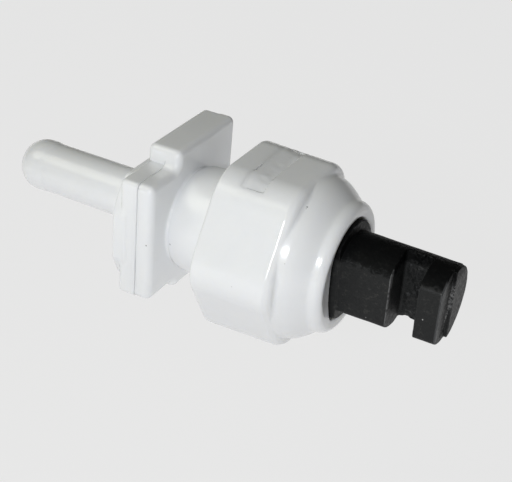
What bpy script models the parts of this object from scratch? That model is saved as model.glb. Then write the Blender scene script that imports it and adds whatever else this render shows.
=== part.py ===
"""Float valve cartridge: hose inlet with a square flange, clipped hexagonal guide cap, sliding plunger.

The valve axis is world X.  The origin is on that axis, in the flat rear face of the flange that
seats on the tank wall; the inlet spigot points to -X and the plunger to +X, +Z is up.
Lengths below are millimetres and are turned into metres when a mesh is made.
"""
import math

import bmesh
import bpy
from mathutils import Matrix

MM = 0.001
NAME = "float_valve"
TURN = 60                     # facets round a turned surface

# inlet side
SPIGOT_R = 3.30
SPIGOT_BEAD_R = 3.42
TIP_BASE_X = -17.50           # the rounded tip of the spigot starts here
TIP_LENGTH = 3.10
INLET_BORE_R = 1.60
SEAT_R = 10.4                 # round seating pad behind the flange
SEAT_HALF_Z = 7.45
REAR_PLATE_X = (0.95, 3.34)
FLANGE_HALF_Y = 9.82
FLANGE_HALF_Z = 7.95

# valve body
FRONT_PLATE_X = (3.48, 5.55)
KEY_X = (0.85, 5.50)          # locating keys above and below the flange
KEY_Y = (-3.85, 9.65)
KEY_FOOT_Z = 8.07
KEY_TOP_Z = 10.28
KEY_BOTTOM_Z = 9.15
COLLAR_R = 6.95
BARREL_X = (12.75, 21.00)
BARREL_R = 8.50
CHAMBER_R = 6.60
CHAMBER_FLOOR_X = 14.00
NOZZLE_POCKET_R = 2.90
NOZZLE_POCKET_X = 8.40
FEED_R = 2.00
GROOVE_R = (3.60, 5.70)
GROOVE_DEPTH = 1.30

# guide cap
CAP_X = 12.15
CAP_APOTHEM = 11.0            # half the 22 mm across flats
CAP_CORNER_R = 5.2
CAP_DRAFT = 0.02
CAP_BORE_R = 8.80
CAP_BORE_END_X = 21.40
CAP_CAVITY_R = 7.90
CAP_WALL_X = 24.80
MOUTH_R = 6.50
MOUTH_FLAT = 3.95
WINDOW_X = (15.20, 17.95)
WINDOW_HALF_Y = 6.10
CLOCK = math.radians(5.5)     # turn of the D-shaped mouth and plunger about the axis

# plunger
SHANK_X = (16.00, 21.50)
SHANK_R = 6.20
STOP_X = (21.30, 22.00)
STOP_R = 7.60
GUIDE_FRONT_X = 27.60
GUIDE_R = 6.22
GUIDE_FLAT = 3.72
STEM_END_X = 40.20
STEM_R = (5.13, 4.98)
STEM_FLAT = 3.52
SLOT_X = (34.00, 37.40)
SLOT_FLOOR_Y = 1.00
END_PAD_X = 40.65             # raised crescent on the +Y side of the end face
END_PAD_Y = -0.10
SEAL_POCKET_R = 3.30
SEAL_POCKET_X = 17.40

WHITE = ((0.86, 0.86, 0.85, 1.0), 0.32, 0.0)
NATURAL = ((0.80, 0.79, 0.74, 1.0), 0.35, 0.0)
BLACK = ((0.030, 0.031, 0.033, 1.0), 0.55, 0.0)
RUBBER = ((0.020, 0.020, 0.020, 1.0), 0.80, 0.0)
BRASS = ((0.72, 0.52, 0.24, 1.0), 0.30, 1.0)


def collection(name, hidden=False):
    coll = bpy.data.collections.new(name)
    bpy.context.scene.collection.children.link(coll)
    coll.hide_render = hidden
    return coll


def material(name, look):
    colour, roughness, metallic = look
    mat = bpy.data.materials.new(name)
    mat.use_nodes = True
    mat.diffuse_color = colour
    shader = mat.node_tree.nodes["Principled BSDF"]
    shader.inputs["Base Color"].default_value = colour
    shader.inputs["Roughness"].default_value = roughness
    shader.inputs["Metallic"].default_value = metallic
    return mat


def to_object(name, bm, coll):
    """Scale to metres, point the faces outward and link the mesh as an object."""
    bmesh.ops.scale(bm, vec=(MM, MM, MM), verts=bm.verts)
    bmesh.ops.recalc_face_normals(bm, faces=bm.faces)
    mesh = bpy.data.meshes.new(name)
    bm.to_mesh(mesh)
    bm.free()
    obj = bpy.data.objects.new(name, mesh)
    coll.objects.link(obj)
    if coll.hide_render:
        obj.display_type = "WIRE"
    return obj


def loft(name, rings, coll):
    """Closed solid through rings of equal point count; each end ring becomes a flat face."""
    bm = bmesh.new()
    layers = [[bm.verts.new(point) for point in ring] for ring in rings]
    count = len(rings[0])
    for low, high in zip(layers[:-1], layers[1:]):
        for i in range(count):
            j = (i + 1) % count
            bm.faces.new((low[i], low[j], high[j], high[i]))
    bm.faces.new(layers[0])
    bm.faces.new(layers[-1])
    return to_object(name, bm, coll)


def circle(x, radius, count):
    step = 2.0 * math.pi / count
    return [(x, radius * math.cos(i * step), radius * math.sin(i * step)) for i in range(count)]


def apply_modifiers(obj):
    graph = bpy.context.evaluated_depsgraph_get()
    mesh = bpy.data.meshes.new_from_object(obj.evaluated_get(graph))
    obj.modifiers.clear()
    old = obj.data
    obj.data = mesh
    mesh.name = obj.name
    bpy.data.meshes.remove(old)


def turned(name, profile, coll, count=TURN, ring=False):
    """Screw an (x, radius) profile about X; a ring's outline is closed, other ends meet the axis."""
    stations = list(profile) if ring else [(profile[0][0], 0.0), *profile, (profile[-1][0], 0.0)]
    bm = bmesh.new()
    verts = [bm.verts.new((x, 0.0, radius)) for x, radius in stations]
    followers = verts[1:] + verts[:1] if ring else verts[1:]
    for start, end in zip(verts, followers):
        bm.edges.new((start, end))
    obj = to_object(name, bm, coll)
    screw = obj.modifiers.new("turn", "SCREW")
    screw.axis = "X"
    screw.steps = count
    screw.render_steps = count
    screw.use_merge_vertices = True
    screw.merge_threshold = 0.000001
    bpy.context.view_layer.update()
    apply_modifiers(obj)
    bm = bmesh.new()
    bm.from_mesh(obj.data)
    bmesh.ops.recalc_face_normals(bm, faces=bm.faces)
    bm.to_mesh(obj.data)
    bm.free()
    return obj


def box(name, x, y, z, coll, bevel=0.0, segments=2):
    """Axis-aligned block between the given limits, its edges rounded when bevel is set."""
    size = (x[1] - x[0], y[1] - y[0], z[1] - z[0])
    centre = ((x[0] + x[1]) / 2, (y[0] + y[1]) / 2, (z[0] + z[1]) / 2)
    bm = bmesh.new()
    bmesh.ops.create_cube(bm, size=1.0)
    bmesh.ops.scale(bm, vec=size, verts=bm.verts)
    if bevel:
        bmesh.ops.bevel(bm, geom=bm.edges[:], offset=bevel, segments=segments, profile=0.5,
                        affect="EDGES", clamp_overlap=True)
    bmesh.ops.translate(bm, vec=centre, verts=bm.verts)
    return to_object(name, bm, coll)


def combine(target, tool, operation):
    """Apply one exact Boolean and remove the tool."""
    mod = target.modifiers.new(operation.lower(), "BOOLEAN")
    mod.operation = operation
    mod.solver = "EXACT"
    mod.object = tool
    bpy.context.view_layer.update()
    apply_modifiers(target)
    bpy.data.objects.remove(tool)


def rounded_hexagon(x, inset, count):
    """Outline of the cap at station x, moved inward by inset."""
    apothem = CAP_APOTHEM - CAP_DRAFT * (x - CAP_X) - inset
    corner = CAP_CORNER_R - inset
    centre = (apothem - corner) / math.cos(math.pi / 6)
    half_flat = (apothem - corner) * math.tan(math.pi / 6)
    points = []
    for i in range(count):
        angle = 2.0 * math.pi * i / count
        sector = math.floor(angle / (math.pi / 3))
        off = abs(angle - (sector + 0.5) * math.pi / 3)
        if apothem * math.tan(off) <= half_flat:
            radius = apothem / math.cos(off)
        else:
            turn = math.pi / 6 - off
            radius = centre * math.cos(turn) + math.sqrt(corner ** 2 - (centre * math.sin(turn)) ** 2)
        points.append((x, radius * math.cos(angle), radius * math.sin(angle)))
    return points


def d_outline(x, radius, flat, steps=44, corner=0.25):
    """Circle cut by a flat on its -Y side, with eased corners, turned by the clocking angle."""
    half = math.acos(-flat / radius)
    ease = corner / radius
    angles = [-half + ease + (2.0 * half - 2.0 * ease) * i / steps for i in range(steps + 1)]
    outline = [(radius * math.cos(a), radius * math.sin(a)) for a in angles]
    side = radius * math.sin(half) - corner
    outline.append((-flat, side))
    outline.append((-flat, -side))
    c = math.cos(CLOCK)
    s = math.sin(CLOCK)
    return [(x, y * c - z * s, y * s + z * c) for y, z in outline]


def clocked(obj):
    obj.data.transform(Matrix.Rotation(CLOCK, 4, "X"))
    return obj


def make_inlet_body(parts, tools):
    """Hose spigot, round seating pad and rear flange plate in one moulding."""
    profile = []
    for degrees in (31, 41, 52, 64, 77, 90):
        angle = math.radians(degrees)
        profile.append((TIP_BASE_X - TIP_LENGTH * math.cos(angle), SPIGOT_BEAD_R * math.sin(angle)))
    profile += [(TIP_BASE_X + 0.8, SPIGOT_BEAD_R), (TIP_BASE_X + 1.6, SPIGOT_R), (-1.2, SPIGOT_R),
                (-0.6, 3.45), (-0.1, 3.9), (0.4, 4.3)]
    body = turned("inlet_body", profile, parts)
    pad = turned("seat_pad", [(0.0, SEAT_R - 0.25), (0.25, SEAT_R), (REAR_PLATE_X[0] + 0.3, SEAT_R)], tools, 72)
    trim = box("seat_trim", (-1, 3), (-12, 12), (-SEAT_HALF_Z, SEAT_HALF_Z), tools)
    combine(pad, trim, "INTERSECT")
    front = box("seat_front", (-1, 3), (-FLANGE_HALF_Y - 0.1, FLANGE_HALF_Y + 0.1), (-12, 12), tools)
    combine(pad, front, "INTERSECT")
    combine(body, pad, "UNION")
    plate = box("rear_plate", REAR_PLATE_X, (-FLANGE_HALF_Y, FLANGE_HALF_Y),
                (-FLANGE_HALF_Z, FLANGE_HALF_Z), tools, bevel=0.40)
    combine(body, plate, "UNION")
    bore = turned("inlet_bore", [(-23, INLET_BORE_R), (4, INLET_BORE_R)], tools, 32)
    combine(body, bore, "DIFFERENCE")
    return body


def snap_lug(side, tools):
    """Wedge of the snap fit: square toward the flange, ramped toward the plunger."""
    x0 = WINDOW_X[0] + 0.15
    x1 = WINDOW_X[1] - 0.35
    y = WINDOW_HALF_Y - 0.15
    low = 7.4
    section = ((x0, low), (x0, 11.2), (x0 + 0.7, 11.2), (x1, 9.6), (x1, low))
    rings = [[(x, edge, side * z) for x, z in section] for edge in (-y, y)]
    lug = loft("snap_lug", rings, tools)
    envelope = loft("lug_envelope", [rounded_hexagon(x, 0.06, 72) for x in (14.0, 19.0)], tools)
    combine(lug, envelope, "INTERSECT")
    return lug


def make_valve_body(parts, tools):
    """Front flange plate, locating keys, collar and the barrel that carries the cap."""
    body = box("valve_body", FRONT_PLATE_X, (-FLANGE_HALF_Y, FLANGE_HALF_Y),
               (-FLANGE_HALF_Z, FLANGE_HALF_Z), parts, bevel=0.80, segments=3)
    for side, top in ((1, KEY_TOP_Z), (-1, KEY_BOTTOM_Z)):
        limits = sorted((side * 5.5, side * (top - 0.9)))
        foot = box("key_foot", (FRONT_PLATE_X[0], KEY_X[1] - 0.15), KEY_Y, limits, tools)
        combine(body, foot, "UNION")
        limits = sorted((side * KEY_FOOT_Z, side * top))
        bevel = 0.42 * (top - KEY_FOOT_Z)
        combine(body, box("key", KEY_X, KEY_Y, limits, tools, bevel, segments=3), "UNION")
    barrel = turned("barrel", [(4.8, 6.2), (5.6, 6.3), (5.75, 6.55), (6.1, 6.8), (7.0, COLLAR_R),
                               (10.8, COLLAR_R), (BARREL_X[0], 6.80), (BARREL_X[0] + 0.02, BARREL_R),
                               (BARREL_X[1] - 0.4, BARREL_R), (BARREL_X[1], BARREL_R - 0.4)], tools)
    combine(body, barrel, "UNION")
    for side in (1, -1):
        combine(body, snap_lug(side, tools), "UNION")
    chamber = turned("chamber", [(CHAMBER_FLOOR_X, CHAMBER_R), (22, CHAMBER_R)], tools)
    combine(body, chamber, "DIFFERENCE")
    pocket = turned("nozzle_pocket", [(NOZZLE_POCKET_X, NOZZLE_POCKET_R),
                                      (CHAMBER_FLOOR_X + 0.5, NOZZLE_POCKET_R)], tools, 36)
    combine(body, pocket, "DIFFERENCE")
    feed = turned("feed", [(2.0, FEED_R), (NOZZLE_POCKET_X + 0.5, FEED_R)], tools, 36)
    combine(body, feed, "DIFFERENCE")
    x0 = FRONT_PLATE_X[0]
    groove = turned("seal_groove", [(x0 - 0.5, GROOVE_R[0]), (x0 - 0.5, GROOVE_R[1]),
                                    (x0 + GROOVE_DEPTH, GROOVE_R[1]),
                                    (x0 + GROOVE_DEPTH, GROOVE_R[0])], tools, 36, ring=True)
    combine(body, groove, "DIFFERENCE")
    return body


def make_guide_cap(parts, tools):
    """Hexagonal cap with a conical nose, a D-shaped mouth and two snap windows."""
    count = 84
    rings = [rounded_hexagon(CAP_X, 0.35, count), rounded_hexagon(CAP_X + 0.1, 0.1, count),
             rounded_hexagon(CAP_X + 0.35, 0.0, count), rounded_hexagon(21.75, 0.0, count),
             rounded_hexagon(22.35, 0.18, count), rounded_hexagon(22.6, 0.38, count)]
    nose = ((22.65, 10.38), (23.4, 10.10), (24.1, 9.76), (24.8, 9.28), (25.5, 8.76), (26.1, 8.34),
            (26.65, 8.08), (27.2, 7.88), (27.48, 7.55), (27.38, 7.15), (26.85, 6.2))
    rings += [circle(x, radius, count) for x, radius in nose]
    cap = loft("guide_cap", rings, parts)
    inside = turned("cap_inside", [(11, CAP_BORE_R), (CAP_BORE_END_X, CAP_BORE_R),
                                   (CAP_BORE_END_X + 0.9, CAP_CAVITY_R),
                                   (CAP_WALL_X, CAP_CAVITY_R)], tools)
    combine(cap, inside, "DIFFERENCE")
    mouth = loft("mouth", [d_outline(x, MOUTH_R, MOUTH_FLAT) for x in (CAP_WALL_X - 1, 29)], tools)
    combine(cap, mouth, "DIFFERENCE")
    for side in (1, -1):
        limits = sorted((side * 7.0, side * 13.0))
        window = box("window", WINDOW_X, (-WINDOW_HALF_Y, WINDOW_HALF_Y), limits, tools)
        combine(cap, window, "DIFFERENCE")
    return cap


def make_plunger(parts, tools):
    """Sliding plunger: fluted shank, stop ring, D-shaped guide and slotted stem."""
    body = turned("plunger", [(SHANK_X[0], SHANK_R - 0.4), (SHANK_X[0] + 0.4, SHANK_R),
                              (SHANK_X[1], SHANK_R)], parts)
    for quarter in range(4):
        flute = box("flute", (SHANK_X[0] - 1, STOP_X[0] - 0.6), (-1.6, 1.6), (5.2, 8.0), tools)
        flute.data.transform(Matrix.Rotation(quarter * math.pi / 2, 4, "X"))
        combine(body, flute, "DIFFERENCE")
    stop = turned("stop_ring", [(STOP_X[0], STOP_R - 0.3), (STOP_X[0] + 0.2, STOP_R),
                                (STOP_X[1], STOP_R)], tools)
    combine(body, stop, "UNION")
    guide_x = (STOP_X[1] - 0.3, GUIDE_FRONT_X - 0.15)
    rings = [d_outline(x, GUIDE_R, GUIDE_FLAT) for x in guide_x]
    rings.append(d_outline(GUIDE_FRONT_X, GUIDE_R - 0.15, GUIDE_FLAT - 0.12))
    combine(body, loft("guide", rings, tools), "UNION")
    rings = [d_outline(GUIDE_FRONT_X - 0.5, STEM_R[0], STEM_FLAT),
             d_outline(STEM_END_X - 0.2, STEM_R[1], STEM_FLAT),
             d_outline(STEM_END_X, STEM_R[1] - 0.2, STEM_FLAT - 0.15)]
    combine(body, loft("stem", rings, tools), "UNION")
    pad = turned("end_pad", [(STEM_END_X - 0.5, STEM_R[1] - 0.1),
                             (END_PAD_X, STEM_R[1] - 0.2)], tools)
    keep = box("end_keep", (38, 42), (END_PAD_Y, 8), (-8, 8), tools)
    combine(pad, keep, "INTERSECT")
    combine(body, clocked(pad), "UNION")
    slot = clocked(box("slot", SLOT_X, (-9, SLOT_FLOOR_Y), (-9, 9), tools))
    combine(body, slot, "DIFFERENCE")
    pocket = turned("seal_pocket", [(SHANK_X[0] - 1, SEAL_POCKET_R), (SEAL_POCKET_X, SEAL_POCKET_R)],
                    tools, 36)
    combine(body, pocket, "DIFFERENCE")
    return body


def make_seal_disc(parts):
    """Soft pad on the plunger that closes the nozzle."""
    return turned("seal_disc", [(15.60, 2.85), (15.75, 3.05), (17.2, 3.05)], parts, 36)


def make_seat_nozzle(parts):
    """Orifice insert pressed into the body, its raised tip is the valve seat."""
    outline = [(8.60, 0.90), (8.60, 2.70), (14.20, 2.70), (14.20, 3.40), (14.70, 3.40),
               (14.70, 2.40), (15.32, 1.50), (15.32, 0.90)]
    return turned("seat_nozzle", outline, parts, 36, ring=True)


def make_body_oring(parts):
    """Round-section ring that seals the joint between the two body mouldings."""
    centre_r = (GROOVE_R[0] + GROOVE_R[1]) / 2
    centre_x = 4.06
    section = 0.62
    steps = 10
    outline = []
    for i in range(steps):
        angle = 2.0 * math.pi * i / steps
        outline.append((centre_x + section * math.cos(angle), centre_r + section * math.sin(angle)))
    return turned("body_oring", outline, parts, 36, ring=True)


def main():
    for obj in list(bpy.data.objects):
        bpy.data.objects.remove(obj, do_unlink=True)
    parts = collection(NAME)
    tools = collection("cutters", hidden=True)
    white = material("white_moulding", WHITE)
    made = [(make_inlet_body(parts, tools), white),
            (make_valve_body(parts, tools), white),
            (make_guide_cap(parts, tools), white),
            (make_plunger(parts, tools), material("black_plunger", BLACK)),
            (make_seal_disc(parts), material("seal_rubber", RUBBER)),
            (make_seat_nozzle(parts), material("nozzle_brass", BRASS)),
            (make_body_oring(parts), material("oring_rubber", RUBBER))]
    for obj, mat in made:
        obj.data.materials.clear()
        obj.data.materials.append(mat)
        for face in obj.data.polygons:
            face.use_smooth = True
        obj.data.set_sharp_from_angle(angle=math.radians(35))


main()
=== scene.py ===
"""Looks of the float valve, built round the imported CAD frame.

Each visible moulding is modelled again as a distance field with real fillets, dents and worn edges,
meshed finely and given a procedural plastic.  Fields are in millimetres in the CAD frame: X along
the valve from the spigot to the plunger, Z up, origin in the rear face of the seating pad.
"""
import math

import bpy
import numpy as np
from mathutils import Matrix, Vector


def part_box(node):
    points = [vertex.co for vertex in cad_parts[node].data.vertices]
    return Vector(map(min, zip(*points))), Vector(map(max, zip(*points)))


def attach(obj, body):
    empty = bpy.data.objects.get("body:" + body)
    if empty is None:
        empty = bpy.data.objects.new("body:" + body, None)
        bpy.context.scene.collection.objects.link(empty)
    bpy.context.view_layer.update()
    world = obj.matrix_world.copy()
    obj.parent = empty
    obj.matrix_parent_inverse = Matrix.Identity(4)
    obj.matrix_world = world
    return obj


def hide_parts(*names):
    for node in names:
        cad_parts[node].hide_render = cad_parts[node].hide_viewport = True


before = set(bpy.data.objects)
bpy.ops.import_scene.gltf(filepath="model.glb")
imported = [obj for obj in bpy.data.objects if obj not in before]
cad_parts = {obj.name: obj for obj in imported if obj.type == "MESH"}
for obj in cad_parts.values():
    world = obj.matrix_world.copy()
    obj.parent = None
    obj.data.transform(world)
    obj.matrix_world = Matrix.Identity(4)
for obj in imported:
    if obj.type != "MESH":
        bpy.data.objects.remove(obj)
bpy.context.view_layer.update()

MM = 0.001
FINE = 0.177     # mesh spacing of the white mouldings, under 200,000 faces each
FINE_STEM = 0.14
PULLS = 4                                # steps that pull mesh points onto a field's surface


def limits(node):
    """Corners of a CAD node's box in millimetres."""
    return [np.array(corner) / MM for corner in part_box(node)]


INLET_BOX = limits("inlet_body")
BODY_BOX = limits("valve_body")
CAP_BOX = limits("guide_cap")
STEM_BOX = limits("plunger")

# inlet
SHANK_R = 3.30
BEAD_R = 3.42
TIP_BASE = INLET_BOX[0][0] + 2.66
TIP_LENGTH = 3.10
INLET_BORE_R = 1.60
PAD_R = 10.4
PAD_HALF_Y = INLET_BOX[1][1]
PAD_HALF_Z = 7.45
PLATE_HALF_Y = 9.82
PLATE_HALF_Z = INLET_BOX[1][2]
REAR_PLATE = (0.95, 3.38)

# body
FRONT_PLATE = (3.44, 5.55)
KEY_X = (BODY_BOX[0][0], 5.50)
KEY_Y = (-3.85, 9.65)
KEY_FOOT = 7.99
KEY_TOP = 10.28
KEY_BOTTOM = 9.15
COLLAR_R = 6.95
BARREL = (12.75, BODY_BOX[1][0])
BARREL_R = 8.50
CHAMBER_R = 6.60
CHAMBER_FLOOR = 14.0
WINDOW = (15.20, 17.95)
WINDOW_HALF_Y = 6.10
NOZZLE_POCKET_R = 2.9
NOZZLE_POCKET_END = 8.4
FEED_R = 2.0
GROOVE_MID_R = 4.65                      # ring groove in the front plate, for the O-ring
GROOVE_HALF_R = 1.05
GROOVE_DEPTH = 1.34

# cap
CAP_X = CAP_BOX[0][0]
APOTHEM = CAP_BOX[1][2]
CORNER_R = 5.2
DRAFT = 0.02
CHAMFER = (21.70, math.tan(math.radians(25)))    # where the facets turn in, and how steeply
SHOULDER = 22.62
MOUTH_R = 6.50
MOUTH_FLAT = 3.95
MOUTH_START = 24.0
CLOCK = math.radians(5.5)                # turn of the D of the mouth and plunger
CAP_BORE_R = 8.8
CAP_BORE_END = 21.4
CAVITY_R = 7.9                           # room for the plunger's stop ring
CAVITY = (22.3, 24.8)

# plunger
TAIL = (STEM_BOX[0][0], 21.5)
TAIL_R = 6.2
STOP = (21.3, 22.0)
STOP_R = 7.6
GUIDE_FRONT = 27.6
GUIDE_R = 6.22
GUIDE_FLAT = 3.72
STEM_END = 40.2
STEM_R = (5.13, 4.98)
STEM_FLAT = 3.52
SLOT = (34.0, 37.4)
SLOT_FLOOR = 1.0
CRESCENT = STEM_BOX[1][0] - 0.04         # front of the raised half of the end face
CRESCENT_Y = -0.1
FLUTE_HALF = 1.6
FLUTE_FLOOR = 5.2
SEAL_POCKET_R = 3.3
SEAL_POCKET_END = 17.4

# marks: place and radius
DARK_SPOTS = (((4.9, -9.8, 0.1), 0.13), ((6.4, -6.7, -0.7), 0.15), ((23.0, -4.6, 9.2), 0.16),
              ((23.0, -4.8, 9.05), 0.14))                # dirt on the white mouldings
PALE_SPOTS = (((34.1, -4.1, 5.9), 0.5), ((38.4, -3.4, -0.9), 0.12),
              ((40.0, -3.9, 3.5), 0.3))                  # chips on the plunger


# ---- distance fields -------------------------------------------------------------------------

def join(a, b, radius):
    """Union of two fields with a concave fillet."""
    u = np.maximum(radius - a, 0)
    v = np.maximum(radius - b, 0)
    return np.maximum(radius, np.minimum(a, b)) - np.hypot(u, v)


def both(a, b, radius):
    """Intersection of two fields with a rounded edge."""
    u = np.maximum(radius + a, 0)
    v = np.maximum(radius + b, 0)
    return np.minimum(-radius, np.maximum(a, b)) + np.hypot(u, v)


def cut(a, b, radius):
    return both(a, -b, radius)


def crease(a, b, width):
    """Intersection of two fields that meet at a shallow angle, eased over a narrow band."""
    near = np.maximum(width - np.abs(a - b), 0) / width
    return np.maximum(a, b) + near ** 2 * width / 4


def weld(a, b, width):
    """Union of two fields that run into each other, eased over a narrow band."""
    return -crease(-a, -b, width)


def slab(v, low, high):
    return np.maximum(low - v, v - high)


def block(x, y, z, low, high, radius):
    """Box with rounded edges."""
    away = [np.abs(v - (a + b) / 2) - ((b - a) / 2 - radius) for v, a, b in zip((x, y, z), low, high)]
    outside = np.sqrt(sum(np.maximum(v, 0) ** 2 for v in away))
    return outside + np.minimum(np.maximum.reduce(away), 0) - radius


def hexagon(y, z, apothem):
    """Regular hexagon with flats at the top and bottom."""
    py = np.abs(y)
    pz = np.abs(z)
    half = math.sqrt(3) / 2
    along = 2 * np.minimum(-half * py + 0.5 * pz, 0)
    py = py + half * along
    pz = pz - 0.5 * along
    py = py - np.clip(py, -apothem / math.sqrt(3), apothem / math.sqrt(3))
    pz = pz - apothem
    return np.hypot(py, pz) * np.sign(pz)


def outline(x, r, points):
    """Closed outline in the (x, radius) half plane."""
    nearest = np.full(x.shape, 1e9, x.dtype)
    inside = np.zeros(x.shape, bool)
    for (ax, ar), (bx, br) in zip(points, points[1:] + points[:1]):
        ex = bx - ax
        er = br - ar
        wx = x - ax
        wr = r - ar
        t = np.clip((wx * ex + wr * er) / (ex * ex + er * er), 0, 1)
        nearest = np.minimum(nearest, (wx - ex * t) ** 2 + (wr - er * t) ** 2)
        if er:
            inside ^= ((ar > r) != (br > r)) & (wx < ex * wr / er)
    return np.where(inside, -1, 1) * np.sqrt(nearest)


def spline(points, steps=5):
    """Catmull-Rom curve through points of an outline."""
    pts = np.array([points[0], *points, points[-1]], float)
    t = (np.arange(steps) / steps)[:, None]
    made = []
    for a, b, c, d in zip(pts, pts[1:], pts[2:], pts[3:]):
        made.extend(0.5 * (2 * b + (c - a) * t + (2 * a - 5 * b + 4 * c - d) * t ** 2
                           + (3 * b - a - 3 * c + d) * t ** 3))
    return [tuple(p) for p in made] + [tuple(points[-1])]


def noise(x, y, z, size, seed):
    """Smooth value noise from -1 to 1 whose features are about size mm across."""
    count = 32
    lattice = np.random.default_rng(seed).uniform(-1, 1, (count,) * 3).astype(np.float32)
    cell = []
    part = []
    for v in (x, y, z):
        low = np.floor(v / size)
        f = v / size - low
        cell.append(low.astype(np.int32))
        part.append(f * f * (3 - 2 * f))
    total = 0
    for i in (0, 1):
        for j in (0, 1):
            for k in (0, 1):
                weight = ((part[0] if i else 1 - part[0]) * (part[1] if j else 1 - part[1])
                          * (part[2] if k else 1 - part[2]))
                total = total + weight * lattice[(cell[0] + i) % count, (cell[1] + j) % count,
                                                 (cell[2] + k) % count]
    return total


def clocked(y, z):
    """Section coordinates turned with the D of the mouth and plunger."""
    return y * math.cos(CLOCK) + z * math.sin(CLOCK), z * math.cos(CLOCK) - y * math.sin(CLOCK)


def dee(y, z, radius, flat, edge):
    """Circle cut by a flat on its -Y side."""
    v, w = clocked(y, z)
    return both(np.hypot(v, w) - radius, -v - flat, edge)


# ---- the mouldings ---------------------------------------------------------------------------

def inlet_field(x, y, z):
    """Hose spigot, round seating pad and rear flange plate."""
    r = np.hypot(y, z)
    tip = [(TIP_BASE - TIP_LENGTH * math.cos(math.radians(a)), BEAD_R * math.sin(math.radians(a)))
           for a in range(28, 91, 6)]
    shank = [(TIP_BASE + 0.9, BEAD_R), (TIP_BASE + 1.7, SHANK_R + 0.01), (2.0, SHANK_R + 0.05)]
    spigot = outline(x, r, [(tip[0][0], -9.0), *tip, *shank, (2.0, -9.0)])
    pad = both(np.maximum(r - PAD_R, np.abs(y) - PAD_HALF_Y), slab(x, 0.0, 2.0), 0.30)
    pad = both(pad, np.abs(z) - PAD_HALF_Z, 0.35)
    plate = block(x, y, z, (REAR_PLATE[0], -PLATE_HALF_Y, -PLATE_HALF_Z),
                  (REAR_PLATE[1] + 0.6, PLATE_HALF_Y, PLATE_HALF_Z), 0.55)
    plate = both(plate, x - REAR_PLATE[1], 0.10)
    d = join(join(plate, pad, 0.15), spigot, 0.7)
    d = d + 0.016 * noise(x, y, z, 3.2, 11)
    return cut(d, r - INLET_BORE_R, 0.25)


def prism(x, y, z):
    """Tapering hexagon of the cap, with well rounded corners."""
    return hexagon(y, z, APOTHEM - CORNER_R - DRAFT * (x - CAP_X)) - CORNER_R


def snap_lug(x, y, z, side):
    """Wedge that fills the cap's window: flush at its square edge, sinking towards the plunger."""
    run = np.maximum(x - WINDOW[0] - 0.5, 0)
    sunk = 0.015 + 0.20 * run + 0.04 * np.minimum(run, 1) * noise(x, y, z, 0.8, 5)
    open_part = np.clip(1.6 - np.abs(y + 2.1) / 1.3, 0, 1)
    gap = 0.48 * open_part * (1 + 0.4 * noise(x, y, z, 0.5, 3)) - 0.35
    body = np.maximum(slab(x, WINDOW[0] + gap, WINDOW[1] + 0.3), np.abs(y) - WINDOW_HALF_Y - 0.2)
    return both(body, np.maximum(7.3 - side * z, prism(x, y, z) + sunk), 0.03)


def flange_section(y, z, fillet):
    """Height limits of the front plate and its keys, before the sides are cut."""
    ends = []
    for side, top in ((1, KEY_TOP), (-1, KEY_BOTTOM)):
        key = both(side * z - top, KEY_Y[0] - y, 0.85)
        ends.append(join(side * z - PLATE_HALF_Z, key, fillet) if fillet else key)
    return ends


def body_field(x, y, z):
    """Front flange plate with its two keys, the collar and the barrel inside the cap."""
    r = np.hypot(y, z)
    face = FRONT_PLATE[0]
    section = both(np.maximum(*flange_section(y, z, 1.05)), np.abs(y) - PLATE_HALF_Y, 0.85)
    d = both(both(section, x - FRONT_PLATE[1], 0.85), face - x, 0.10)
    for side, key in zip((1, -1), flange_section(y, z, 0)):
        key = both(both(key, y - KEY_Y[1], 0.85), slab(x, KEY_X[0], FRONT_PLATE[1] - 0.6), 0.85)
        d = np.minimum(d, both(key, KEY_FOOT - side * z, 0.05))
    neck = spline([(4.6, 6.05), (5.5, 6.15), (5.8, 6.42), (6.2, 6.68), (6.8, 6.87), (8.0, COLLAR_R),
                   (10.6, COLLAR_R), (11.8, 6.88), (BARREL[0], 6.8)])
    barrel = outline(x, r, [(4.6, -9.0), *neck, (BARREL[0] + 0.02, BARREL_R), (BARREL[1] - 0.4, BARREL_R),
                            (BARREL[1], BARREL_R - 0.4), (BARREL[1], -9.0)])
    d = join(d, barrel, 0.42)
    for side in (1, -1):
        d = join(d, snap_lug(x, y, z, side), 0.15)
    d = d + 0.013 * noise(x, y, z, 3.6, 21)
    chamber = both(r - CHAMBER_R, CHAMBER_FLOOR - x, 0.3)
    pocket = both(r - NOZZLE_POCKET_R, NOZZLE_POCKET_END - x, 0.2)
    hollow = np.minimum(np.minimum(chamber, pocket), r - FEED_R)
    groove = np.maximum(np.abs(r - GROOVE_MID_R) - GROOVE_HALF_R, x - (face + GROOVE_DEPTH))
    return cut(np.maximum(d, -groove), hollow, 0.15)


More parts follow.
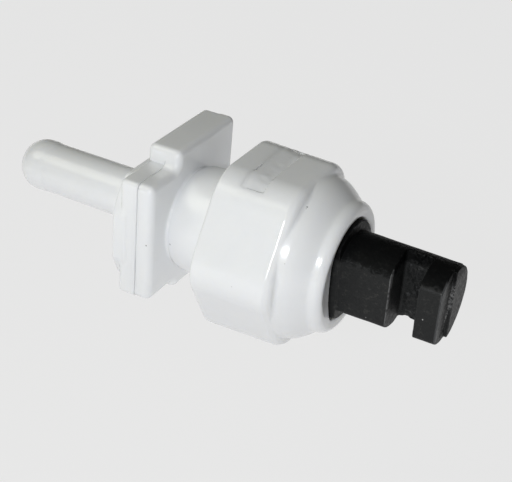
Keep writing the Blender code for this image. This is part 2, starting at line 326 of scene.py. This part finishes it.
def cap_field(x, y, z):
    """Hexagonal cap with a conical nose, a dished lip and a D-shaped mouth."""
    r = np.hypot(y, z)
    sides = prism(x, y, z)
    d = crease(sides, 0.91 * (sides + CHAMFER[1] * (x - CHAMFER[0])), 0.04)
    d = both(d, CAP_X - x, 0.42)
    d = both(d, x - SHOULDER, 0.50)
    nose = spline([(CHAMFER[0], 10.79), (22.1, 10.62), (22.4, 10.51), (22.7, 10.42), (23.0, 10.34),
                   (23.4, 10.20), (24.1, 9.83), (24.8, 9.33), (25.5, 8.76), (25.85, 8.50), (26.1, 8.40),
                   (26.35, 8.355), (26.6, 8.30), (26.85, 8.20), (27.1, 8.03), (27.3, 7.80), (27.42, 7.5),
                   (27.38, 7.1), (27.22, 6.5), (27.02, 5.7), (26.86, 4.8), (26.8, 4.0)])
    at_corner = np.clip((-sides - 0.45) / 0.6, 0, 1)
    d = weld(d, outline(x, r, [(CHAMFER[0], -9.0), *nose, (26.8, -9.0)]), 0.03 + 0.35 * at_corner)
    d = d + 0.012 * noise(x, y, z, 4.2, 31)
    inside = outline(x, r, [(10.0, -9.0), (10.0, CAP_BORE_R), (CAP_BORE_END, CAP_BORE_R),
                            (CAVITY[0], CAVITY_R), (CAVITY[1], CAVITY_R), (CAVITY[1], -9.0)])
    d = cut(d, inside, 0.15)
    mouth = dee(y, z, MOUTH_R, MOUTH_FLAT, 0.3)
    d = cut(d, np.maximum(mouth, MOUTH_START - x), 0.22)
    edge = 0.04 * noise(x, y, z, 0.7, 33)
    window = np.maximum(slab(x, WINDOW[0] + edge, WINDOW[1]), np.abs(y) - WINDOW_HALF_Y)
    return cut(d, np.maximum(window, 7.0 - np.abs(z)), 0.04)


def plunger_field(x, y, z):
    """Fluted tail, stop ring, D-shaped guide and slotted stem."""
    r = np.hypot(y, z)
    d = both(r - TAIL_R, slab(x, TAIL[0], TAIL[1] + 0.3), 0.35)
    for v, w in ((y, z), (z, y)):
        flute = np.maximum(np.abs(v) - FLUTE_HALF, FLUTE_FLOOR - np.abs(w))
        d = cut(d, np.maximum(flute, x - (STOP[0] - 0.6)), 0.1)
    d = np.minimum(d, both(r - STOP_R, slab(x, *STOP), 0.2))
    guide = both(dee(y, z, GUIDE_R, GUIDE_FLAT, 0.25), slab(x, STOP[1] - 0.3, GUIDE_FRONT), 0.12)
    along = (x - GUIDE_FRONT) / (STEM_END - GUIDE_FRONT)
    radius = STEM_R[0] + (STEM_R[1] - STEM_R[0]) * along
    stem = both(dee(y, z, radius, STEM_FLAT, 0.22), slab(x, GUIDE_FRONT - 1.0, STEM_END), 0.14)
    v, w = clocked(y, z)
    crescent = both(r - STEM_R[1] + 0.12, CRESCENT_Y - v, 0.12)
    crescent = both(crescent, slab(x, STEM_END - 1.0, CRESCENT), 0.14)
    d = join(np.minimum(d, guide), stem, 0.12)
    d = join(d, crescent, 0.08)
    scar = np.maximum(np.abs(v + 0.95) - 0.85, np.abs(w) - 3.9) + 0.25 * noise(x, y, z, 0.9, 47)
    pits = 0.05 * (1 + noise(x, y, z, 0.30, 41)) + 0.04 * (1 + noise(x, y, z, 0.75, 46))
    d = d + pits * np.clip(-3 * scar, 0, 1) * np.clip(3 * (x - STEM_END + 0.6), 0, 1)
    in_slot = np.clip(1.7 - np.abs(x - sum(SLOT) / 2), 0, 1) * (v > SLOT_FLOOR - 0.8)
    floor = SLOT_FLOOR + in_slot * (0.28 * noise(x, y, z, 0.85, 42) + 0.12 * noise(x, y, z, 0.35, 43))
    slot = both(slab(x, *SLOT), v - floor, 0.35)
    d = cut(d, slot, 0.13)
    d = d + 0.018 * noise(x, y, z, 1.6, 44) + 0.012 * noise(x, y, z, 0.45, 45)
    return cut(d, np.maximum(r - SEAL_POCKET_R, x - SEAL_POCKET_END), 0.1)


# ---- meshing ---------------------------------------------------------------------------------

def gradient(field, p, reach=0.01):
    """Slope of a field at points p, by central differences."""
    slope = np.empty_like(p)
    for axis in range(3):
        ahead = p.copy()
        ahead[:, axis] += reach
        behind = p.copy()
        behind[:, axis] -= reach
        slope[:, axis] = (field(*ahead.T) - field(*behind.T)) / (2 * reach)
    return slope


def surface_net(field, low, high, step):
    """Points, outward normals and quads of the surface where field is 0 inside the box."""
    low = np.asarray(low, float) - 2.5 * step
    counts = np.ceil((np.asarray(high) + 2.5 * step - low) / step).astype(int) + 1
    axes = [(low[i] + step * np.arange(counts[i])).astype(np.float32) for i in range(3)]
    value = np.empty(counts, np.float32)
    yy, zz = np.meshgrid(axes[1], axes[2], indexing="ij")
    for i, x in enumerate(axes[0]):
        value[i] = field(np.full_like(yy, x), yy, zz)
    solid = value < 0
    ends = [slice(0, -1), slice(1, None)]
    corners = [(i, j, k) for i in (0, 1) for j in (0, 1) for k in (0, 1)]
    total = sum(solid[ends[i], ends[j], ends[k]].astype(np.int8) for i, j, k in corners)
    active = (total > 0) & (total < 8)
    cells = np.argwhere(active)
    index = np.full(active.shape, -1)
    index[active] = np.arange(len(cells))
    point = np.zeros((len(cells), 3))
    hits = np.zeros(len(cells))
    for a in corners:
        for axis in range(3):
            if a[axis]:
                continue
            b = list(a)
            b[axis] = 1
            va = value[tuple((cells + a).T)]
            vb = value[tuple((cells + b).T)]
            crossed = (va < 0) != (vb < 0)
            share = va[crossed] / (va[crossed] - vb[crossed])
            spot = np.tile(np.array(a, float), (len(share), 1))
            spot[:, axis] = share
            point[crossed] += spot
            hits[crossed] += 1
    point = low + step * (cells + point / hits[:, None])
    quads = []
    for axis in range(3):
        u = (axis + 1) % 3
        v = (axis + 2) % 3
        ahead = np.eye(3, dtype=int)[axis]
        grid = np.argwhere(np.diff(solid, axis=axis))
        grid = grid[(grid[:, u] > 0) & (grid[:, v] > 0)]
        grid = grid[(grid[:, u] < counts[u] - 1) & (grid[:, v] < counts[v] - 1)]
        back_u = np.eye(3, dtype=int)[u]
        back_v = np.eye(3, dtype=int)[v]
        ring = [index[tuple((grid - offset).T)] for offset in (0 * ahead, back_u, back_u + back_v, back_v)]
        quad = np.stack(ring, axis=1)
        outward = solid[tuple(grid.T)]
        quad[outward] = quad[outward][:, ::-1]
        quads.append(quad[:, ::-1])
    for _ in range(PULLS):
        slope = gradient(field, point)
        size = np.maximum((slope ** 2).sum(axis=1), 0.05)
        move = slope * (field(*point.T) / size)[:, None]
        length = np.linalg.norm(move, axis=1, keepdims=True)
        point -= move * np.minimum(1, 0.4 * step / np.maximum(length, 1e-9))
    slope = gradient(field, point, 0.03)
    normals = slope / np.maximum(np.linalg.norm(slope, axis=1, keepdims=True), 1e-6)
    return point, normals, np.concatenate(quads)


def moulding(name, node, body, field, box, step, mat):
    """Mesh a field, ride it on its body and let it stand for its CAD node."""
    point, normals, quads = surface_net(field, *box, step)
    mesh = bpy.data.meshes.new(name)
    mesh.from_pydata((point * MM).tolist(), [], quads.tolist())
    mesh.shade_smooth()
    mesh.normals_split_custom_set_from_vertices(normals.tolist())
    mesh.materials.append(mat)
    piece = bpy.data.objects.new(name, mesh)
    bpy.context.scene.collection.objects.link(piece)
    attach(piece, body)
    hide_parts(node)
    return piece


# ---- materials -------------------------------------------------------------------------------

class Nodes:
    """Short calls for building one material's node tree, with object coordinates in millimetres."""

    def __init__(self, name):
        self.mat = bpy.data.materials.new(name)
        self.mat.use_nodes = True
        self.tree = self.mat.node_tree
        self.shader = self.tree.nodes["Principled BSDF"]
        coords = self.tree.nodes.new("ShaderNodeTexCoord")
        scale = self.tree.nodes.new("ShaderNodeVectorMath")
        scale.operation = "SCALE"
        scale.inputs["Scale"].default_value = 1.0 / MM
        self.link(coords.outputs["Object"], scale.inputs[0])
        self.place = scale.outputs[0]

    def link(self, source, target):
        self.tree.links.new(source, target)

    def feed(self, value, socket):
        if isinstance(value, (int, float, tuple)):
            socket.default_value = value
        else:
            self.link(value, socket)

    def noise(self, size, detail=2.0, roughness=0.5, distortion=0.0):
        """Noise from 0 to 1 with features about size mm across."""
        node = self.tree.nodes.new("ShaderNodeTexNoise")
        self.link(self.place, node.inputs["Vector"])
        node.inputs["Scale"].default_value = 1.0 / size
        node.inputs["Detail"].default_value = detail
        node.inputs["Roughness"].default_value = roughness
        node.inputs["Distortion"].default_value = distortion
        return node.outputs["Fac"]

    def ramp(self, value, low, high, out_low=0.0, out_high=1.0):
        """Smooth step of value from low..high to out_low..out_high."""
        node = self.tree.nodes.new("ShaderNodeMapRange")
        node.interpolation_type = "SMOOTHSTEP"
        self.feed(value, node.inputs["Value"])
        for socket, number in (("From Min", low), ("From Max", high),
                               ("To Min", out_low), ("To Max", out_high)):
            node.inputs[socket].default_value = number
        return node.outputs["Result"]

    def maths(self, operation, a, b=0.0):
        node = self.tree.nodes.new("ShaderNodeMath")
        node.operation = operation
        self.feed(a, node.inputs[0])
        self.feed(b, node.inputs[1])
        return node.outputs[0]

    def mix(self, share, a, b):
        node = self.tree.nodes.new("ShaderNodeMix")
        node.data_type = "RGBA"
        self.feed(share, node.inputs["Factor"])
        self.feed(a, node.inputs["A"])
        self.feed(b, node.inputs["B"])
        return node.outputs["Result"]

    def along(self, axis):
        """One object coordinate in mm."""
        node = self.tree.nodes.new("ShaderNodeSeparateXYZ")
        self.link(self.place, node.inputs[0])
        return node.outputs[axis]

    def band(self, value, centre, half, soft):
        """1 within half of the centre, easing to 0 over soft."""
        away = self.maths("ABSOLUTE", self.maths("SUBTRACT", value, centre))
        return self.ramp(away, half + soft, half)

    def product(self, *values):
        total = values[0]
        for value in values[1:]:
            total = self.maths("MULTIPLY", total, value)
        return total

    def edges(self, low, high):
        """Share of wear on convex edges."""
        node = self.tree.nodes.new("ShaderNodeNewGeometry")
        return self.ramp(node.outputs["Pointiness"], low, high)

    def specks(self, spacing, low, high):
        """Small scattered dots, one in some cells of a grid of that spacing in mm."""
        node = self.tree.nodes.new("ShaderNodeTexVoronoi")
        self.link(self.place, node.inputs["Vector"])
        node.inputs["Scale"].default_value = 1.0 / spacing
        return self.ramp(node.outputs["Distance"], high, low)

    def away(self, centre):
        """Distance in mm from a point given in mm."""
        node = self.tree.nodes.new("ShaderNodeVectorMath")
        node.operation = "DISTANCE"
        self.link(self.place, node.inputs[0])
        node.inputs[1].default_value = centre
        return node.outputs["Value"]

    def spot(self, centre, radius):
        """A single soft-edged mark round a point given in mm."""
        return self.ramp(self.away(centre), radius, radius * 0.4)

    def bump(self, height, depth, normal=None):
        """Bump of that depth in mm."""
        node = self.tree.nodes.new("ShaderNodeBump")
        node.inputs["Distance"].default_value = depth * MM
        self.feed(height, node.inputs["Height"])
        if normal is not None:
            self.link(normal, node.inputs["Normal"])
        return node.outputs["Normal"]

    def out(self, **inputs):
        for name, value in inputs.items():
            self.feed(value, self.shader.inputs[name.replace("_", " ")])
        return self.mat


def white_plastic():
    """Milky white moulding: faint flow mottling, fine orange peel and a few dirt specks."""
    n = Nodes("white_moulding")
    flow = n.ramp(n.noise(5.0, 3.0, 0.6, 0.8), 0.3, 0.7)
    base = n.mix(flow, (0.885, 0.895, 0.910, 1.0), (0.898, 0.907, 0.915, 1.0))
    cloud = n.ramp(n.noise(0.6, 4.0, 0.7), 0.35, 0.75, 0.0, 0.02)
    base = n.mix(cloud, base, (0.55, 0.55, 0.54, 1.0))
    dirt = n.product(n.specks(1.6, 0.03, 0.05), n.ramp(n.noise(2.4), 0.63, 0.68), 0.4)
    base = n.mix(dirt, base, (0.25, 0.24, 0.22, 1.0))
    for centre, radius in DARK_SPOTS:
        base = n.mix(n.maths("MULTIPLY", n.spot(centre, radius), 0.7), base, (0.16, 0.15, 0.14, 1.0))
    gloss = n.ramp(n.noise(1.4, 3.0), 0.3, 0.7, 0.15, 0.24)
    peel = n.bump(n.noise(0.35, 2.0), 0.001)
    return n.out(Base_Color=base, Roughness=gloss, Normal=peel, Subsurface_Weight=0.40,
                 Subsurface_Scale=0.0012, Subsurface_Radius=(1.0, 0.97, 0.90), IOR=1.48)


def black_plastic():
    """Charcoal moulding, painted darker over the top as shade and lighter on the lit side: blotchy scuffs
    above the flat, wear on its edges and end face, painted highlights on the slot edge and end face, pale
    chips.
    """
    n = Nodes("black_moulding")
    x, y, z = (n.along(axis) for axis in range(3))
    blotch = n.noise(1.1, 5.0, 0.65, 0.4)
    grain = n.ramp(n.noise(0.16, 3.0, 0.6), 0.35, 0.65)
    mottle = n.noise(0.45, 5.0, 0.7, 0.5)
    # Painted shade: the top of the plunger is coloured darker and the lower side with the flat lighter, as
    # if lit, with a blotchy border; the same share lowers the specular over the top and keeps grain and
    # scuffs to the lit side.
    height = n.maths("ADD", z, n.maths("MULTIPLY", blotch, 2.5))
    height = n.maths("ADD", height, n.maths("MULTIPLY", mottle, 2.0))
    painted_lit_side = n.ramp(height, 6.1, 5.1)
    base = n.mix(painted_lit_side, (0.0035, 0.0038, 0.0040, 1.0), (0.0130, 0.0138, 0.0140, 1.0))
    scuff = n.product(n.ramp(mottle, 0.50, 0.62), n.ramp(blotch, 0.45, 0.60), n.maths("ADD", painted_lit_side, 0.12))
    base = n.mix(scuff, base, (0.034, 0.034, 0.032, 1.0))
    base = n.mix(n.product(grain, painted_lit_side, 0.30), base, (0.026, 0.026, 0.026, 1.0))
    end = n.ramp(x, STEM_END - 0.25, STEM_END - 0.05)
    # Painted highlight: a lighter, patchy band on the end face along its edge by the flat.
    end_edge_highlight = n.product(end, n.ramp(y, -2.2, -2.7), n.ramp(n.noise(0.5, 3.0), 0.25, 0.5, 0.5, 1.0))
    base = n.mix(n.maths("MULTIPLY", end_edge_highlight, 0.8), base, (0.085, 0.087, 0.090, 1.0))
    face = n.product(end, n.ramp(y, 0.0, 0.3), 0.2)
    base = n.mix(face, base, (0.020, 0.021, 0.021, 1.0))
    rub = n.ramp(n.noise(0.35, 4.0, 0.7), 0.42, 0.58)
    fold = n.product(end, n.band(y, CRESCENT_Y - 0.1, 0.10, 0.16), rub, n.band(z, -0.4, 2.6, 0.8))
    # Painted highlight along the slot's edge on the flat side, in patches.
    slot_edge_highlight = n.product(n.band(x, SLOT[0] - 0.05, 0.04, 0.10), n.ramp(y, -2.9, -3.3),
                          n.ramp(n.noise(0.8, 3.0), 0.36, 0.52, 0.15, 0.6))
    wear_and_slot_highlight = n.product(n.edges(0.53, 0.60), n.ramp(n.noise(0.9, 4.0, 0.7), 0.45, 0.62), 0.35)
    wear_and_slot_highlight = n.maths("MAXIMUM", wear_and_slot_highlight, n.maths("MAXIMUM", n.maths("MULTIPLY", fold, 0.9), slot_edge_highlight))
    # Pale colour for wear on edges and at the crescent's fold, and for the painted slot highlight.
    base = n.mix(n.maths("MULTIPLY", wear_and_slot_highlight, 0.8), base, (0.26, 0.26, 0.26, 1.0))
    chips = n.product(n.specks(1.3, 0.05, 0.10), n.ramp(n.noise(1.9, 2.0), 0.62, 0.66), 0.6)
    for centre, radius in PALE_SPOTS:
        chips = n.maths("MAXIMUM", chips, n.spot(centre, radius))
    base = n.mix(chips, base, (0.50, 0.50, 0.49, 1.0))
    gloss = n.ramp(n.noise(0.5, 4.0, 0.7), 0.3, 0.7, 0.42, 0.62)
    rough = n.bump(n.noise(0.12, 3.0, 0.6), 0.03)
    dents = n.bump(n.noise(0.8, 3.0, 0.6), 0.07, rough)
    return n.out(Base_Color=base, Roughness=gloss, Normal=dents, IOR=1.5,
                 Specular_IOR_Level=n.ramp(painted_lit_side, 0.0, 1.0, 0.08, 0.22))


def rubber():
    """Matt black rubber with a fine bloom."""
    n = Nodes("seal_rubber_fine")
    bloom = n.ramp(n.noise(0.5, 4.0, 0.7), 0.35, 0.7)
    base = n.mix(bloom, (0.016, 0.016, 0.017, 1.0), (0.035, 0.035, 0.036, 1.0))
    return n.out(Base_Color=base, Roughness=0.78, Normal=n.bump(n.noise(0.15, 3.0), 0.02))


def brass():
    """Turned brass with a fine bumpy grain, patchy gloss and a light tarnish."""
    n = Nodes("nozzle_brass_fine")
    tarnish = n.ramp(n.noise(0.9, 4.0, 0.7), 0.35, 0.7)
    base = n.mix(tarnish, (0.74, 0.54, 0.26, 1.0), (0.58, 0.40, 0.19, 1.0))
    return n.out(Base_Color=base, Metallic=1.0, Roughness=n.ramp(n.noise(0.3, 3.0), 0.3, 0.7, 0.24, 0.40),
                 Normal=n.bump(n.noise(0.12, 2.0), 0.01))


def floor_paper():
    """Pale paper that glows a little less in the soft shade under and before the valve."""
    n = Nodes("floor_paper")
    n.shader.inputs["Emission Color"].default_value = (1.0, 1.0, 1.0, 1.0)
    away = n.away(SHADE_PLACE)
    return n.out(Base_Color=(0.10, 0.10, 0.10, 1.0), Roughness=0.9, Specular_IOR_Level=0.0,
                 Emission_Strength=n.ramp(away, *SHADE_REACH, 0.42, 0.76))


# ---- stage -----------------------------------------------------------------------------------

AZIMUTH = math.radians(25.50)
ELEVATION = math.radians(30.88)
ROLL = math.radians(5.48)
CAMERA_PLACE = Vector((0.06635, -0.10812, 0.07112))
LENS = 78.89
AIM = Vector((0.010, 0.0, 0.0))
FLOOR_Z = -0.060
SHADE_PLACE = (45.0, -75.0, 0.0)         # middle of the shaded part of the floor, and where it fades
SHADE_REACH = (15.0, 100.0)


def facing(azimuth, elevation, roll=0.0):
    """Rotation whose -Z looks down from that azimuth and elevation."""
    back = Vector((math.sin(azimuth) * math.cos(elevation), -math.cos(azimuth) * math.cos(elevation),
                   math.sin(elevation)))
    right = Vector((math.cos(azimuth), math.sin(azimuth), 0.0))
    up = back.cross(right)
    level = Matrix((right, up, back)).transposed()
    return level @ Matrix.Rotation(roll, 3, "Z")


def make_camera():
    data = bpy.data.cameras.new("camera")
    data.lens = LENS
    data.sensor_width = 36.0
    data.clip_start = 0.005
    data.clip_end = 10.0
    cam = bpy.data.objects.new("camera", data)
    cam.matrix_world = Matrix.Translation(CAMERA_PLACE) @ facing(AZIMUTH, ELEVATION, ROLL).to_4x4()
    bpy.context.scene.collection.objects.link(cam)
    bpy.context.scene.camera = cam


def soft_light(name, place, size, power, colour=(1.0, 1.0, 1.0)):
    """Square area light at a place, looking at the valve."""
    data = bpy.data.lights.new(name, "AREA")
    data.shape = "SQUARE"
    data.size = size
    data.energy = power
    data.color = colour
    lamp = bpy.data.objects.new(name, data)
    away = Vector(place) - AIM
    lamp.matrix_world = Matrix.Translation(place) @ away.to_track_quat("Z", "Y").to_matrix().to_4x4()
    bpy.context.scene.collection.objects.link(lamp)


def make_stage():
    bpy.ops.mesh.primitive_plane_add(size=6.0, location=(0.0, 0.0, FLOOR_Z))
    floor = bpy.context.object
    floor.name = "floor"
    floor.data.materials.append(floor_paper())
    soft_light("flash", (0.044, -0.121, 0.066), 0.012, 0.097, (0.975, 0.995, 1.02))
    soft_light("ceiling", (-0.20, -0.16, 0.30), 0.20, 0.37, (1.0, 1.0, 0.88))
    soft_light("back_fill", (-0.70, 0.42, 0.08), 0.50, 0.5)
    world = bpy.data.worlds.new("studio")
    world.use_nodes = True
    world.node_tree.nodes["Background"].inputs["Color"].default_value = (1.0, 1.0, 0.93, 1.0)
    world.node_tree.nodes["Background"].inputs["Strength"].default_value = 0.06
    bpy.context.scene.world = world
    bpy.context.scene.view_settings.view_transform = "Standard"


def main():
    make_camera()
    white = white_plastic()
    black = black_plastic()
    moulding("inlet_moulding", "inlet_body", "valve", inlet_field, INLET_BOX, FINE, white)
    moulding("body_moulding", "valve_body", "valve", body_field, BODY_BOX, FINE, white)
    moulding("cap_moulding", "guide_cap", "valve", cap_field, CAP_BOX, FINE, white)
    moulding("plunger_moulding", "plunger", "plunger", plunger_field, STEM_BOX,
             FINE_STEM, black)
    seal = rubber()
    for node, mat in (("seal_disc", seal), ("body_oring", seal), ("seat_nozzle", brass())):
        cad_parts[node].material_slots[0].material = mat
    make_stage()


main()
